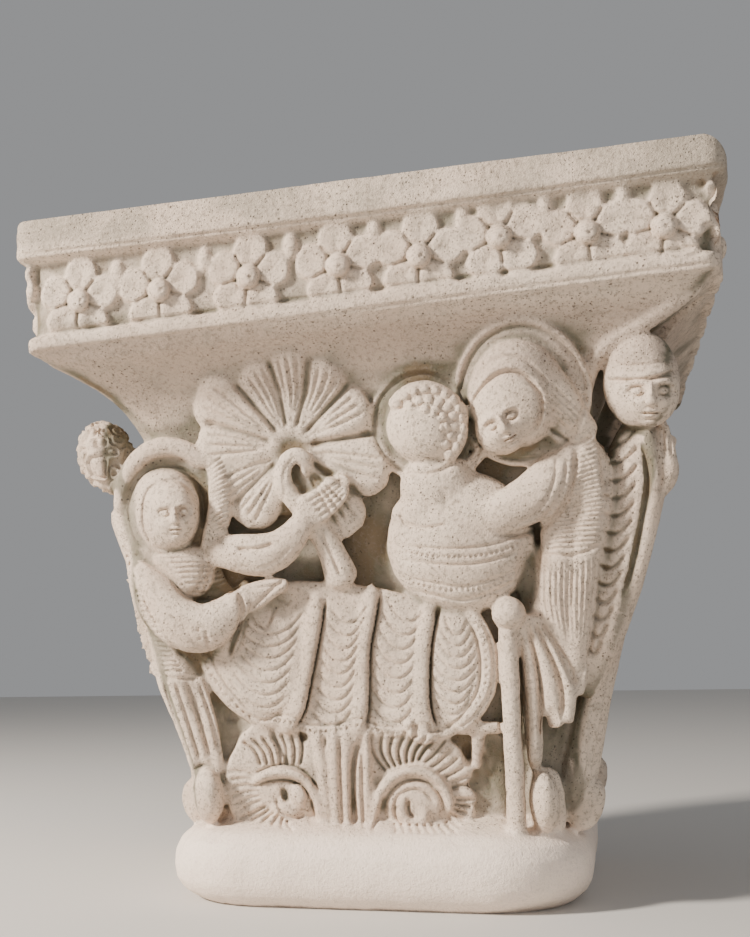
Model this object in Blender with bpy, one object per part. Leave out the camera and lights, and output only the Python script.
"""Column capital cast in one piece: a cushion-shaped base slab, a bell carved with figures, and an abacus
with a band of flowers. Metres, +Z up, the origin on the underside, the carved front facing -Y.

The carving is drawn on a board that stands in front of each side of the bell. A place on it is an x, counted
from the middle of the side, and a z, counted from the underside, both in drawn millimetres, and a third number
says how far a form stands out of the board or, below zero, lies behind it.
"""

import math

import bmesh
import bpy
from mathutils import Matrix, Vector

# Driving dimensions
ABACUS_WIDTH = 0.356
ABACUS_HEIGHT = 0.062
HEIGHT = 0.350
BASE_WIDTH = 0.227
BASE_HEIGHT = 0.034
BASE_CORNER = 0.052
NECK_WIDTH = 0.188
RELIEF = 0.0121

# Mouldings of the abacus
TOP_BAND = 0.0176
BAND_RECESS = 0.008
FILLET_HEIGHT = 0.005
FILLET_RECESS = 0.005
LIP_RECESS = 0.014
ABACUS_CORNER = 0.009
TOP_SLOPE = 0.018
FILLET_SLOPE = 0.040
WORN_RIGHT = 0.012
WORN_LEFT = 0.006

# How the casting leans: neck and base sit to the left of the abacus, and the right side isn't square to the front
NECK_SHIFT = -0.007
BASE_SHIFT = (-0.012, -0.011)
SQUINT = 0.095
SQUINT_START = -0.150

# Fineness of the solid
GRAIN = 0.0026
FACES_KEPT = 9700
SMOOTHING = 1
STONE = (0.76, 0.70, 0.62, 1.0)
STONE_ROUGHNESS = 0.85

# The drawing: its width, its levels, and the point that the front is drawn as seen from
DRAWN_WIDTH = 356.0
DRAWN_BASE = 34.0
DRAWN_NECK = 46.0
DRAWN_LIP = 281.0
DRAWN_ABACUS = 288.0
DRAWN_HEIGHT = 350.0
BELL_KNEE = 255.0
SQUARE = ABACUS_WIDTH / DRAWN_WIDTH
SIGHT = Vector((166.0, -765.0, 122.0)) * SQUARE
DEEP = -34.0

STRAIGHT_FLARE = 0.56
FLARE_POWER = 12
BOARD_FLARE = 0.604
BOARD_KNEE_SLOPE = 0.75
BOARD_INSET = 6.0
BELL_FOOT = 40.0
NICHES = ((150, 134), (-134, 134), (-158, -112))
NICHE_SIZE = (24, 26, 32)
NICHE_LEVEL = 238
ARCH_FRONT = 60
ARCH_WIDER = 60
ARCH_SHOULDER = 150
BAND_SLOPE_SHARE = 0.7

FLOWERS = ((-142, 304.5), (-98, 306), (-51, 308.5), (-5, 310), (35, 311), (73.5, 316.5), (114.4, 314.6), (149, 314))
BUDS = ((-169, 311), (-121, 317), (-74, 319.5), (-29, 322), (13, 325), (56, 327), (95, 329.5), (131, 331), (170, 328))


def level(z):
    """Real height of a drawn height: base, field and abacus each have their own scale."""
    drawn = (0.0, DRAWN_BASE, DRAWN_ABACUS, DRAWN_HEIGHT)
    real = (0.0, BASE_HEIGHT, HEIGHT - ABACUS_HEIGHT, HEIGHT)
    for i in range(3):
        if z <= drawn[i + 1] or i == 2:
            share = (z - drawn[i]) / (drawn[i + 1] - drawn[i])
            return real[i] + share * (real[i + 1] - real[i])


def bell_share(z):
    return (z - DRAWN_NECK) / (DRAWN_LIP - DRAWN_NECK)


def core_half(z):
    """Half the width of the plain bell: nearly straight, then a sharp flare under the abacus."""
    share = min(max(bell_share(z), 0.0), 1.0)
    lip = ABACUS_WIDTH / 2 - LIP_RECESS
    rise = STRAIGHT_FLARE * share + (1 - STRAIGHT_FLARE) * share**FLARE_POWER
    return NECK_WIDTH / 2 + (lip - NECK_WIDTH / 2) * rise


def board_half(z):
    """Distance of the drawing board from the axis of the capital."""
    lip = ABACUS_WIDTH / 2 - LIP_RECESS
    straight = NECK_WIDTH / 2 + RELIEF + (lip - NECK_WIDTH / 2) * BOARD_FLARE * bell_share(min(z, BELL_KNEE))
    flared = straight + max(z - BELL_KNEE, 0.0) * BOARD_KNEE_SLOPE * SQUARE
    return min(flared, ABACUS_WIDTH / 2 - BOARD_INSET * SQUARE)


def shift(z):
    """Sideways place of the core's middle: the neck's own at the foot, none at the abacus."""
    share = min(max(bell_share(z), 0.0), 1.0)
    return NECK_SHIFT * (1 - share)


class Side:
    """One side of the bell. The front is drawn as seen from SIGHT, the others as seen straight on."""

    def __init__(self, quarter_turns):
        self.front = quarter_turns == 0
        self.turn = Matrix.Rotation(quarter_turns * math.pi / 2, 4, "Z")

    def at(self, x, z, out=0.0):
        place = Vector((x * SQUARE, -board_half(z), level(z)))
        reach = out * SQUARE
        if self.front:
            return place + (SIGHT - place) * (reach / (place.y - SIGHT.y))
        place.y -= reach
        return self.turn @ place + Vector((shift(z), 0.0, 0.0))


def smooth_path(points, steps=4):
    """Points on a curve through the given ones (Catmull-Rom)."""
    ends = [points[0]] + list(points) + [points[-1]]
    path = []
    for a, b, c, d in zip(ends, ends[1:], ends[2:], ends[3:]):
        for step in range(steps):
            t = step / steps
            path.append(
                tuple(
                    0.5 * (2 * q + (r - p) * t + (2 * p - 5 * q + 4 * r - s) * t**2 + (3 * q - p - 3 * r + s) * t**3)
                    for p, q, r, s in zip(a, b, c, d)
                )
            )
    path.append(tuple(points[-1]))
    return path


def add_shell(bm, rings):
    """Closed skin through rings of points, with a flat cap at each end."""
    loops = [[bm.verts.new(point) for point in ring] for ring in rings]
    count = len(loops[0])
    for lower, upper in zip(loops, loops[1:]):
        for i in range(count):
            j = (i + 1) % count
            bm.faces.new((lower[i], lower[j], upper[j], upper[i]))
    bm.faces.new(loops[0][::-1])
    bm.faces.new(loops[-1])


def add_ball(bm, side, x, z, out, wide, tall, deep, tilt=0.0):
    """Ellipsoid with its middle at a place on the board and half sizes in drawn millimetres."""
    shape = Matrix.Diagonal(Vector((wide, deep, tall)) * SQUARE).to_4x4()
    lean = Matrix.Rotation(math.radians(tilt), 4, "Y")
    place = Matrix.Translation(side.at(x, z, out))
    bmesh.ops.create_icosphere(bm, subdivisions=2, radius=1.0, matrix=place @ side.turn @ lean @ shape)


def add_roll(bm, side, points, radii, flat=1.0, around=10):
    """Tapered roll through places (x, z, out), with a radius at each, flattened towards the board by flat."""
    path = smooth_path([(*point, radius) for point, radius in zip(points, radii)])
    middles = [side.at(x, z, out) for x, z, out, _ in path]
    outward = side.turn @ Vector((0.0, -1.0, 0.0))
    rings = []
    for i, middle in enumerate(middles):
        along = (middles[min(i + 1, len(path) - 1)] - middles[max(i - 1, 0)]).normalized()
        across = along.cross(outward).normalized()
        radius = path[i][3] * SQUARE
        rings.append(
            [
                middle
                + across * (radius * math.cos(math.tau * k / around))
                + across.cross(along) * (radius * flat * math.sin(math.tau * k / around))
                for k in range(around)
            ]
        )
    add_shell(bm, rings)


def add_plate(bm, side, outline, out, back=DEEP):
    """Slab with the given outline, its front at out and its back at back."""
    add_shell(bm, [[side.at(x, z, depth) for x, z in outline] for depth in (back, out)])


def add_disc(bm, side, x, z, radius, out, back=DEEP):
    ring = [math.tau * k / 24 for k in range(24)]
    add_plate(bm, side, [(x + radius * math.cos(a), z + radius * math.sin(a)) for a in ring], out, back)


def add_flower(bm, side, x, z):
    """Five petals round a button."""
    add_ball(bm, side, x, z, 1, 5.6, 5.6, 4)
    for k in range(5):
        angle = math.radians(90 + 72 * k)
        add_ball(bm, side, x + 13.5 * math.cos(angle), z + 13 * math.sin(angle), -4, 7.8, 7.8, 6)


def add_flower_band(bm, side):
    """Eight flowers with buds between them; on the hidden sides the band runs level."""
    level_out = 0.0 if side.front else FILLET_SLOPE
    for x, z in FLOWERS:
        add_flower(bm, side, x, z - level_out * x)
    for x, z in BUDS:
        add_ball(bm, side, x, z - level_out * x, -4, 3.8, 7.2, 4.2)


def add_palmette(bm, side, x, z):
    """Open leaf of ten lobes round a hub, with a stalk looped over it."""
    lobes = ((147, 59, 15), (112, 47, 11), (86, 50, 12), (57, 48, 12), (28, 48, 12.5), (-16, 55, 15), (-54, 55, 13),
             (-128, 48, 14), (-154, 47, 11), (175, 52, 13))
    for angle, reach, width in lobes:
        ray = math.radians(angle)
        places = [(x + r * math.cos(ray), z + r * math.sin(ray), -7) for r in (4, reach * 0.45, reach - width * 0.75)]
        add_roll(bm, side, places, (3, width * 0.85, width * 0.9), 0.42)
    stalk = [(23, -65, -5), (18, -52, -4), (10, -38, -3), (-1, -25, -2),
             (-5, -14, -1), (-1, -5, 0), (5, -4, 0), (8, -8, 0)]
    add_roll(bm, side, [(x + dx, z + dz, out) for dx, dz, out in stalk], (9, 7.5, 6.5, 5.2, 4.6, 4.2, 4, 3), 0.8)


def add_volute(bm, side, x, z, radius, spikes):
    """Curled leaf: a round coil with an eye, and pointed leaves fanning out of it."""
    ring = [math.radians(20 + 330 * k / 10) for k in range(11)]
    coil = [(x + radius * math.cos(a), z + radius * math.sin(a), -3) for a in ring]
    add_roll(bm, side, coil, [4.0] * len(coil))
    add_ball(bm, side, x, z, -6, radius * 0.5, radius * 0.55, 7)
    for k, (tip_x, tip_z) in enumerate(spikes):
        root = (x + (tip_x - x) * 0.35, z + (tip_z - z) * 0.35, -7)
        middle = (x + (tip_x - x) * 0.75, z + (tip_z - z) * 0.75, -5)
        add_roll(bm, side, [root, middle, (tip_x, tip_z, -8)], (3.5, 4, 1.6))


def add_standing_figure(bm, side, x, out):
    """Draped standing figure with a halo and a pleated robe."""
    add_disc(bm, side, x, 236, 22, -9)
    add_ball(bm, side, x, 233, -3, 15, 19, 15)
    add_roll(bm, side, [(x, 222, -9), (x, 200, out), (x, 160, out), (x, 110, out - 2), (x, 62, out - 4)],
             (13, 24, 22, 19, 20), 0.62)
    add_roll(bm, side, [(x - 22, 205, -5), (x - 16, 178, 4), (x + 4, 172, 6)], (8, 8, 5))
    add_roll(bm, side, [(x + 22, 205, -5), (x + 18, 180, 2), (x + 2, 184, 6)], (8, 7, 5))
    for pleat in (-14, -7, 0, 7, 14):
        add_roll(bm, side, [(x + pleat * 0.7, 158, out + 8), (x + pleat, 110, out + 7), (x + pleat * 1.1, 62, out + 4)],
                 (2.5, 3.4, 3.6))
    for foot in (-8, 8):
        add_ball(bm, side, x + foot, 50, -1, 7, 12, 10)


def add_corner_figure(bm, side):
    """Figure under the corner of the abacus, with a cap, a robe and a raised hand."""
    add_ball(bm, side, 135.3, 248.6, -10, 18, 21.6, 17)
    robe = [(134, 226, -18), (130, 205, -17), (125, 182, -17), (119, 155, -17), (110, 125, -17), (103, 106, -18)]
    add_roll(bm, side, robe, (10, 16, 15.5, 13.5, 10, 6), 0.95)
    strip = [(136, 224, -8), (139, 206, -7), (136, 186, -7), (131, 166, -8), (126, 150, -11)]
    add_roll(bm, side, strip, (4, 4.8, 5, 4.6, 3.4))
    add_roll(bm, side, [(139, 196, -9), (146, 205, -9), (146.5, 214, -10), (145.5, 227, -13)], (4, 4.6, 3.8, 2.2))


def add_leaning_head(bm, side):
    """Curly head that leans out near the corner, on its neck and shoulder."""
    add_ball(bm, side, 114, 233, 12, 15, 19.5, 15)
    add_roll(bm, side, [(114, 226, 5), (113, 205, -6), (109, 150, -11), (100, 90, -12)], (10, 17, 17, 12), 0.85)


def add_halo_and_veil(bm, side):
    """Head of the reclining figure: a raised rim round a veiled head."""
    add_plate(bm, side, ((-139, 196), (-138, 207), (-134, 220), (-125, 231), (-112, 237), (-98, 235), (-88, 228),
                         (-80, 220), (-80, 190), (-90, 176), (-130, 176)), -7)
    rim = [(-136, 203, -8), (-132, 218, -6), (-122, 228.5, -5), (-110, 232.5, -4.5), (-98, 230.5, -5), (-88, 224, -6)]
    add_roll(bm, side, rim, (3.5, 4.4, 4.8, 5, 4.8, 4.4))
    add_roll(bm, side, [(-82, 225, -6), (-79.5, 212, -4), (-80, 200, -4), (-83, 190, -4), (-86, 180, -4)],
             (4.5, 6.2, 6.8, 6.8, 6), 0.8)
    add_ball(bm, side, -110.5, 199.5, -5, 19.8, 22.5, 13.5)
    add_ball(bm, side, -106.5, 198.5, 0, 14.2, 17.6, 12.5)


def add_reclining_figure(bm, side):
    add_halo_and_veil(bm, side)
    chest = ((-136, 190), (-131, 168), (-124, 184), (-92, 183), (-84, 178), (-76, 160), (-66, 163), (-62, 130),
             (-92, 118), (-124, 122))
    add_plate(bm, side, chest, -7)
    add_ball(bm, side, -106, 168, -7, 21, 17, 11)
    add_roll(bm, side, [(-126, 170, -5), (-119, 155, -1), (-107, 143, 2), (-93, 140, 3), (-81, 146, 3), (-73, 152, 2)],
             (9, 13, 14, 13, 10, 7.5), 0.75)
    add_roll(bm, side, [(-73, 153, 1), (-61, 156, 1), (-50, 160, 0)], (7, 5, 3), 0.6)
    raised = [(-86, 178, -5), (-72, 177, -1), (-60, 175.5, 0.5), (-50, 178, 1.5), (-42, 184, 2), (-36, 191.5, 2)]
    add_roll(bm, side, raised, (7, 10, 10.8, 9.8, 8, 6.2), 0.8)
    add_roll(bm, side, [(-36, 194, 1), (-26, 200, 2), (-14, 210, 2)], (6, 8, 3), 0.5)
    hip = ((-141, 200), (-137, 182), (-132, 168), (-131, 152), (-127, 138), (-121, 122), (-117, 110), (-109, 85),
           (-104, 68), (-104, 48), (-88, 48), (-87, 70), (-84, 92), (-84, 118), (-100, 150), (-118, 178), (-128, 200))
    add_plate(bm, side, hip, -10)
    for top, middle, bottom, radius in ((-117, -108, -102, 4.6), (-108, -102, -96, 4.6), (-99, -93, -90, 4.4)):
        add_roll(bm, side, [(top, 112, -8), (middle, 90, -7), (bottom, 68, -8)], (radius, radius, radius * 0.8))
    add_ball(bm, side, -96.5, 54, -6, 9, 14.5, 12)


def add_blanket(bm, side):
    """Cloth over the reclining figure: a hanging sheet with four panels between raised folds."""
    outline = ((-101, 140), (-86, 134), (-74, 146), (-66, 159), (-48, 162), (-25, 161), (0, 157.5), (15, 153.5),
               (28, 148.5), (46, 146), (55, 139), (59, 122), (58, 106), (50, 93), (40, 86), (28, 81.5), (18, 84),
               (2, 81.5), (-12, 86), (-22, 84), (-38, 82.5), (-50, 88), (-65, 88.5), (-82, 99), (-93, 113))
    add_plate(bm, side, outline, -4)
    folds = (((-32, 152), (-36, 130), (-39.5, 112), (-42, 98), (-46, 88)),
             ((-3, 156), (-7, 140), (-10, 125), (-10.5, 100), (-12, 87)),
             ((28, 148), (23.5, 130), (21.5, 112), (21, 98), (24, 86)),
             ((49, 144), (54.5, 132), (56, 118), (52.5, 103), (41, 90)))
    for fold in folds:
        add_roll(bm, side, [(x, z, -3.2) for x, z in fold], (3.2, 4, 4.4, 4.6, 4.6))
    cushions = ((-66, 124, 26, 31, -22), (-23, 120, 14, 34, -8), (6.5, 119, 14, 34, -5), (39, 118, 15, 31, 0))
    for x, z, wide, tall, tilt in cushions:
        add_ball(bm, side, x, z, -5.5, wide, tall, 7, tilt)


def add_tub_and_child(bm, side):
    add_disc(bm, side, 28, 235.5, 27, -7)
    add_ball(bm, side, 30, 235, -3, 20, 18.8, 16)
    add_ball(bm, side, 34, 205, -5, 19, 18, 12, -20)
    add_ball(bm, side, 27, 192, -4, 17, 11, 10)
    add_ball(bm, side, 44.5, 178, -9, 37, 35, 19)


def add_attendant(bm, side):
    """Attendant who bends over the tub: halo, veil, a long arm and a pleated back."""
    add_disc(bm, side, 78, 246, 33, -5)
    add_ball(bm, side, 75, 246, -3, 24, 25.5, 18, 28)
    add_ball(bm, side, 68.5, 235, 1.5, 14, 17, 12.5, 24)
    add_roll(bm, side, [(78, 262, -1), (91, 249, 0), (101, 236, -1), (110, 228, -4)], (9, 10.5, 8, 4.5), 0.8)
    arm = [(103, 213, -5), (92, 205, -1), (79, 197, 2), (64, 190.5, 3.5),
           (48, 187, 3.5), (36, 186.5, 2.5), (25, 186, 0)]
    add_roll(bm, side, arm, (12, 13.5, 12, 9.8, 7, 4.4, 2.6), 0.8)
    back = [(100, 222, -7), (106, 212, -6), (108, 195, -6), (105, 175, -6),
            (101, 150, -6.5), (98, 125, -7), (98, 106, -9)]
    add_roll(bm, side, back, (9, 13, 12.5, 11, 9.5, 7, 4.5), 0.9)
    skirt = [(94, 195, -6), (94, 176, -5.5), (91, 155, -6), (92, 135, -7), (96, 112, -9)]
    add_roll(bm, side, skirt, (10, 10, 9.5, 8, 5), 0.9)
    add_roll(bm, side, [(82, 170, -12), (80, 150, -12), (84, 130, -12)], (9, 8, 6), 0.8)


def add_bed_end(bm, side):
    """Post of the bed with a knob, the cloth that falls behind it, a rail and a short leg."""
    add_roll(bm, side, [(65.5, 138, -2), (65.5, 110, -1), (65.5, 84, -1), (65.5, 31, -1)], (4.4, 4.7, 4.9, 5.1))
    add_ball(bm, side, 66.5, 143, 0, 8.6, 8.4, 8.4)
    falls = (((72, 139), (76, 118), (77, 100), (76, 74)), ((76, 139), (83, 120), (86, 104), (87, 90)),
             ((79, 139), (90, 120), (94, 106), (93, 92)))
    for fall in falls:
        add_roll(bm, side, [(x, z, -4.5) for x, z in fall], (3.2, 4.2, 4.2, 3.2))
    add_plate(bm, side, ((70, 140), (80, 141), (92, 122), (97, 104), (92, 90), (82, 96), (80, 72), (73, 72)), -7)
    add_roll(bm, side, [(40, 87.5, -8), (61, 88, -7)], (3, 3))
    add_roll(bm, side, [(49, 86, -8), (47.5, 70, -9)], (3.4, 2.2))
    add_plate(bm, side, ((50, 86), (62, 86), (62, 32), (44, 32), (42, 48), (56, 50)), -11)
    add_plate(bm, side, ((74, 66), (88, 66), (90, 40), (74, 36)), -10)
    add_ball(bm, side, 80, 52, -6, 7.5, 15, 11)


def add_foliage(bm, side):
    add_plate(bm, side, ((-88, 92), (45, 92), (46, 66), (44, 32), (-86, 32)), -10.5)
    left = [(-80, 79), (-74, 87), (-62, 89), (-51, 87), (-40, 83), (-85, 66),
            (-84, 53), (-80, 44), (-68, 35), (-56, 33), (-43, 33)]
    right = [(4, 84), (14, 84), (27, 81), (38, 76), (44, 66), (44, 52), (41, 42), (32, 34), (20, 33), (8, 33)]
    add_volute(bm, side, -52, 53, 12, left)
    add_volute(bm, side, 14, 51, 14, right)
    for x, top in ((-32, -35), (-27.5, -26), (-21.5, -20), (-14.5, -13.5), (-11, -8)):
        add_roll(bm, side, [(top, 90, -7), ((x + top) / 2, 62, -5), (x, 31, -6)], (3, 3.2, 3))


def carve_front(bm):
    side = Side(0)
    add_flower_band(bm, side)
    add_palmette(bm, side, -40, 228)
    add_reclining_figure(bm, side)
    add_blanket(bm, side)
    add_tub_and_child(bm, side)
    add_attendant(bm, side)
    add_bed_end(bm, side)
    add_foliage(bm, side)
    add_corner_figure(bm, side)


def carve_hidden_side(bm, quarter_turns):
    """A plainer side in keeping with the front: standing figures on both sides of a leaf, over curled leaves."""
    side = Side(quarter_turns)
    add_flower_band(bm, side)
    add_palmette(bm, side, 0, 226)
    for x in (-68, 68):
        add_standing_figure(bm, side, x, -4)
    spikes = [(14, 26), (0, 28), (-14, 26), (-25, 14), (-28, -2), (-22, -14), (22, -14), (27, 2)]
    for x in (-24, 24):
        add_volute(bm, side, x, 56, 13, [(x + dx, 56 + dz) for dx, dz in spikes])
    for x in (-40, -24, -8, 8, 24, 40):
        add_roll(bm, side, [(x * 0.9, 152, -9), (x, 120, -6), (x * 1.05, 86, -8)], (8, 9.5, 9), 0.8)
    if quarter_turns == 3:
        add_leaning_head(bm, side)
    else:
        add_corner_figure(bm, side)


def rounded_square(half, corner, height, middle, slope, per_corner=7):
    """Ring of points round a square with rounded corners, lifted to the right by slope."""
    ring = []
    for quarter in range(4):
        cx = (half - corner) * (1 if quarter in (0, 3) else -1)
        cy = (half - corner) * (1 if quarter in (0, 1) else -1)
        for step in range(per_corner):
            angle = math.pi / 2 * (quarter + step / (per_corner - 1))
            x = cx + corner * math.cos(angle)
            ring.append((x + middle[0], cy + corner * math.sin(angle) + middle[1], height + slope * x))
    return ring


def add_block(bm):
    """The plain body, ring by ring: cushion base, bell, fillet, recessed band and top band."""
    rings = []
    cushion = ((-0.18, 0.13), (0.0, 0.11), (0.06, 0.075), (0.18, 0.035), (0.32, 0.01), (0.53, 0.0), (0.74, 0.004),
               (0.91, 0.03), (1.06, 0.085), (1.15, 0.16))
    for share, inset in cushion:
        half = BASE_WIDTH / 2 * (1 - inset)
        rings.append(rounded_square(half, BASE_CORNER * (1 - inset), BASE_HEIGHT * share, BASE_SHIFT, 0.0))
    for k in range(12):
        z = BELL_FOOT + (DRAWN_LIP - BELL_FOOT) * (k / 11) ** 0.8
        half = core_half(z)
        corner = ABACUS_CORNER + (half * 0.35 - ABACUS_CORNER) * (1 - bell_share(z)) ** 0.7
        rings.append(rounded_square(half, corner, level(z), (shift(z), 0.0), FILLET_SLOPE * bell_share(z) ** 6))
    half = ABACUS_WIDTH / 2
    fillet = HEIGHT - ABACUS_HEIGHT
    band = HEIGHT - TOP_BAND
    mouldings = (
        (fillet - 0.0025, FILLET_RECESS + 0.004, FILLET_SLOPE),
        (fillet - 0.001, FILLET_RECESS, FILLET_SLOPE),
        (fillet + FILLET_HEIGHT, FILLET_RECESS, FILLET_SLOPE),
        (fillet + FILLET_HEIGHT + 0.0025, BAND_RECESS, FILLET_SLOPE),
        (band - 0.003, BAND_RECESS - 0.0005, FILLET_SLOPE * BAND_SLOPE_SHARE),
        (band, 0.001, FILLET_SLOPE * BAND_SLOPE_SHARE),
        (band + 0.0015, 0.0, FILLET_SLOPE * BAND_SLOPE_SHARE),
        (HEIGHT + 0.014, 0.0, TOP_SLOPE),
    )
    for height, recess, slope in mouldings:
        rings.append(rounded_square(half - recess, ABACUS_CORNER, height, (0.0, 0.0), slope))
    add_shell(bm, rings)


def object_from(bm, name):
    mesh = bpy.data.meshes.new(name)
    bmesh.ops.recalc_face_normals(bm, faces=bm.faces)
    bm.to_mesh(mesh)
    bm.free()
    obj = bpy.data.objects.new(name, mesh)
    bpy.context.scene.collection.objects.link(obj)
    return obj


def evaluated_mesh(obj):
    """The object's mesh with its modifiers applied."""
    graph = bpy.context.evaluated_depsgraph_get()
    graph.update()
    return bpy.data.meshes.new_from_object(obj.evaluated_get(graph))


def cut_away(block, cutter):
    """Cuts one object out of the block and returns the block's new mesh."""
    cut = block.modifiers.new("cut", "BOOLEAN")
    cut.operation = "DIFFERENCE"
    cut.solver = "EXACT"
    cut.object = cutter
    mesh = evaluated_mesh(block)
    block.modifiers.clear()
    block.data = mesh
    bpy.data.objects.remove(cutter)


def hollow_corners(block):
    """Cuts a rounded niche into the bell under each corner of the abacus, where the corner figures stand. The niche
    at the right front is an arch that shows from the front and, wider, from the right."""
    for x, y in NICHES:
        bm = bmesh.new()
        turn = Matrix.Rotation(math.atan2(y, x), 4, "Z")
        shape = Matrix.Diagonal(Vector(NICHE_SIZE) * SQUARE).to_4x4()
        place = Matrix.Translation(Vector((x * SQUARE, y * SQUARE, level(NICHE_LEVEL))))
        bmesh.ops.create_icosphere(bm, subdivisions=3, radius=1.0, matrix=place @ turn @ shape)
        cut_away(block, object_from(bm, "niche"))
    rim = [(110, 170), (112, 236), (112.5, 246), (116, 256), (124, 262.5), (137, 268), (150, 275), (163, 282)]
    arch = smooth_path(rim, 2) + [(215, 284), (215, 130), (106, 130)]
    for turns, way in ((0, 1), (1, -1)):
        bm = bmesh.new()
        outline = [(way * (x - ARCH_WIDER * turns if x < ARCH_SHOULDER else x), z) for x, z in arch]
        add_shell(bm, [[Side(turns).at(x, z, out) for x, z in outline] for out in (DEEP, ARCH_FRONT)])
        bmesh.ops.triangulate(bm, faces=bm.faces)
        cut_away(block, object_from(bm, "arch"))


def bend_and_wear(bm):
    """Turns the right side out of square and rounds the worn ends of the top."""
    half = ABACUS_WIDTH / 2
    for vert in bm.verts:
        behind = max(vert.co.y - SQUINT_START, 0.0)
        vert.co.x -= SQUINT * behind * (vert.co.x + half) / ABACUS_WIDTH
        for way, radius in ((1, WORN_RIGHT), (-1, WORN_LEFT)):
            dx = way * vert.co.x - (half - radius)
            dz = vert.co.z - (HEIGHT + TOP_SLOPE * way * half - radius)
            far = math.hypot(dx, dz)
            if dx > 0 and dz > 0 and far > radius:
                vert.co.x -= way * dx * (1 - radius / far)
                vert.co.z -= dz * (1 - radius / far)


def keep_largest(bm):
    """Removes any shell but the largest, such as a bubble closed in between two forms."""
    left = set(bm.verts)
    shells = []
    while left:
        grown = {left.pop()}
        edge = list(grown)
        while edge:
            near = {other for vert in edge for link in vert.link_edges for other in link.verts} & left
            left -= near
            grown |= near
            edge = list(near)
        shells.append(grown)
    shells.sort(key=len)
    for shell in shells[:-1]:
        bmesh.ops.delete(bm, geom=list(shell), context="VERTS")


def cut_flat(bm, point, normal):
    """Cuts away what lies beyond a plane and closes the cut with one flat face."""
    geometry = bm.verts[:] + bm.edges[:] + bm.faces[:]
    cut = bmesh.ops.bisect_plane(bm, geom=geometry, plane_co=point, plane_no=normal, clear_outer=True, dist=1e-6)
    edges = [item for item in cut["geom_cut"] if isinstance(item, bmesh.types.BMEdge)]
    bmesh.ops.holes_fill(bm, edges=edges, sides=0)


def stone():
    material = bpy.data.materials.new("cast_stone")
    material.use_nodes = True
    shader = material.node_tree.nodes["Principled BSDF"]
    shader.inputs["Base Color"].default_value = STONE
    shader.inputs["Roughness"].default_value = STONE_ROUGHNESS
    shader.inputs["Metallic"].default_value = 0.0
    return material


def make_capital():
    bm = bmesh.new()
    add_block(bm)
    block = object_from(bm, "block")
    hollow_corners(block)
    bm = bmesh.new()
    bm.from_mesh(block.data)
    bpy.data.objects.remove(block)
    carve_front(bm)
    for quarter_turns in (1, 2, 3):
        carve_hidden_side(bm, quarter_turns)
    rough = object_from(bm, "rough")
    fuse = rough.modifiers.new("fuse", "REMESH")
    fuse.mode = "VOXEL"
    fuse.voxel_size = GRAIN
    soften = rough.modifiers.new("soften", "SMOOTH")
    soften.iterations = SMOOTHING
    soften.factor = 0.5
    thin = rough.modifiers.new("thin", "DECIMATE")
    thin.use_collapse_triangulate = True
    fused = evaluated_mesh(rough)
    thin.ratio = min(1.0, FACES_KEPT * thin.ratio / max(1, sum(len(face.vertices) - 2 for face in fused.polygons)))
    bm = bmesh.new()
    bm.from_mesh(evaluated_mesh(rough))
    bpy.data.objects.remove(rough)
    keep_largest(bm)
    bend_and_wear(bm)
    cut_flat(bm, (0.0, 0.0, 0.0), (0.0, 0.0, -1.0))
    cut_flat(bm, (0.0, 0.0, HEIGHT), (-TOP_SLOPE, 0.0, 1.0))
    bmesh.ops.triangulate(bm, faces=bm.faces)
    capital = object_from(bm, "capital")
    capital.data.shade_smooth()
    capital.data.set_sharp_from_angle(angle=math.radians(50))
    capital.data.materials.append(stone())


for old in list(bpy.data.objects):
    bpy.data.objects.remove(old)
make_capital()
